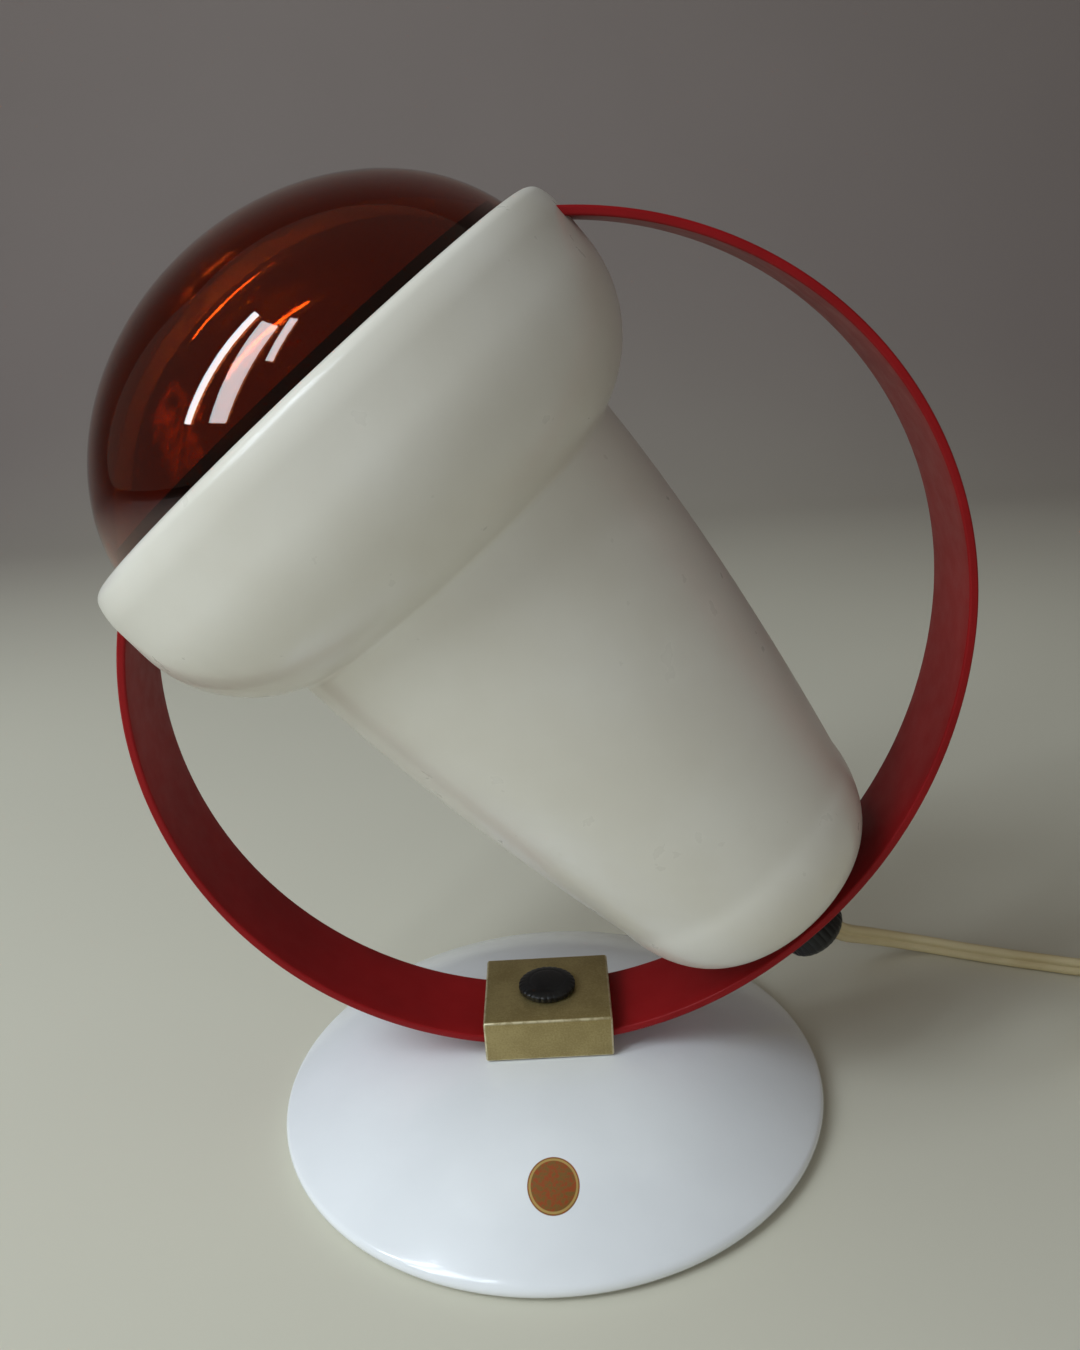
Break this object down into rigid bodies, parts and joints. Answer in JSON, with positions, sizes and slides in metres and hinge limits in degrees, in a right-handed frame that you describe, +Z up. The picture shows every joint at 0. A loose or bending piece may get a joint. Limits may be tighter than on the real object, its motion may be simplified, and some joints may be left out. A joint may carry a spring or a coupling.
{
  "type": "infrared heat therapy lamp",
  "caption": "Table infrared lamp: red reflector bulb in a cream shade on a flat red hoop, which slides through a clamp block on a weighted white base; cord and plug.",
  "frame": {"origin": "middle of the underside of the base, on the surface that the lamp stands on", "axes": "+Z up; the hoop lies in the plane y = 0; -X is the side that the bulb faces; -Y is the side seen in the picture; the cord leaves towards +X"},
  "size_m": [0.3545, 0.186, 0.2401],
  "materials": {
    "white_enamel": "gloss",
    "cream_enamel": "satin gloss",
    "red_enamel": "satin gloss",
    "cast_iron": "as cast",
    "black_rubber": "matt",
    "zinc_steel": "zinc plated",
    "satin_gold": "satin, brushed",
    "black_plastic": "moulded",
    "red_glass": "clear, stained through",
    "silvering": "mirror",
    "brass": "bright",
    "porcelain": "glazed",
    "clear_glass": "clear",
    "tungsten": "drawn wire",
    "cream_plastic": "matt",
    "blue_lead": "matt",
    "brown_lead": "matt",
    "nickel_plate": "nickel plated"
  },
  "bodies": {
    "base": {"base_shell": "white_enamel", "base_weight": "cast_iron", "base_pad": "black_rubber", "block_screw_left": "zinc_steel", "block_screw_right": "zinc_steel", "block_washer_left": "zinc_steel", "block_washer_right": "zinc_steel", "clamp_block": "satin_gold", "clamp_shoe": "brass", "cord_drop": "cream_plastic", "cord_run": "cream_plastic", "cord_coil": "cream_plastic", "cord_tail": "cream_plastic", "coil_tie": "black_plastic", "plug_body": "cream_plastic", "plug_pin_left": "nickel_plate", "plug_pin_right": "nickel_plate"},
    "hoop": {"hoop": "red_enamel", "shade_bell": "cream_enamel", "shade_cone": "cream_enamel", "shade_spacer": "black_plastic", "shade_stud": "zinc_steel", "stud_nut": "zinc_steel", "saddle_washer": "zinc_steel", "holder_bracket": "zinc_steel", "holder_body": "porcelain", "holder_sleeve": "brass", "centre_contact": "brass", "bracket_screw_left": "zinc_steel", "bracket_screw_right": "zinc_steel", "terminal_screw_live": "brass", "terminal_screw_neutral": "brass", "inner_lead_live": "brown_lead", "inner_lead_neutral": "blue_lead", "strain_relief": "cream_plastic"},
    "clamp_knob": {"clamp_knob": "black_plastic", "clamp_stud": "zinc_steel"},
    "rear_knob": {"rear_knob": "black_plastic"},
    "bulb": {"bulb_glass": "red_glass", "bulb_mirror": "silvering", "bulb_cap": "nickel_plate", "cap_insulator": "black_plastic", "cap_contact": "brass", "bulb_stem": "clear_glass", "support_wire_left": "tungsten", "support_wire_right": "tungsten", "filament": "tungsten"}
  },
  "joints": [
    {"name": "hoop_tilt", "type": "hinge", "parent": "base", "child": "hoop", "pos_m": [0, 0, 0.12045], "axis": [0, -1, 0], "range_deg": [-15, 70], "deforming": ["cord_drop"]},
    {"name": "clamp_knob_turn", "type": "hinge", "parent": "base", "child": "clamp_knob", "pos_m": [0, 0, 0.0337], "axis": [0, 0, 1], "range_deg": [-360, 0]},
    {"name": "rear_knob_turn", "type": "hinge", "parent": "hoop", "child": "rear_knob", "pos_m": [0.07235, 0, 0.04633], "axis": [0.6194, 0, -0.7851], "range_deg": [-360, 0]},
    {"name": "bulb_screw", "type": "hinge", "parent": "hoop", "child": "bulb", "pos_m": [0.03023, 0, 0.09972], "axis": [0.6194, 0, -0.7851], "range_deg": [-360, 0]}
  ]
}
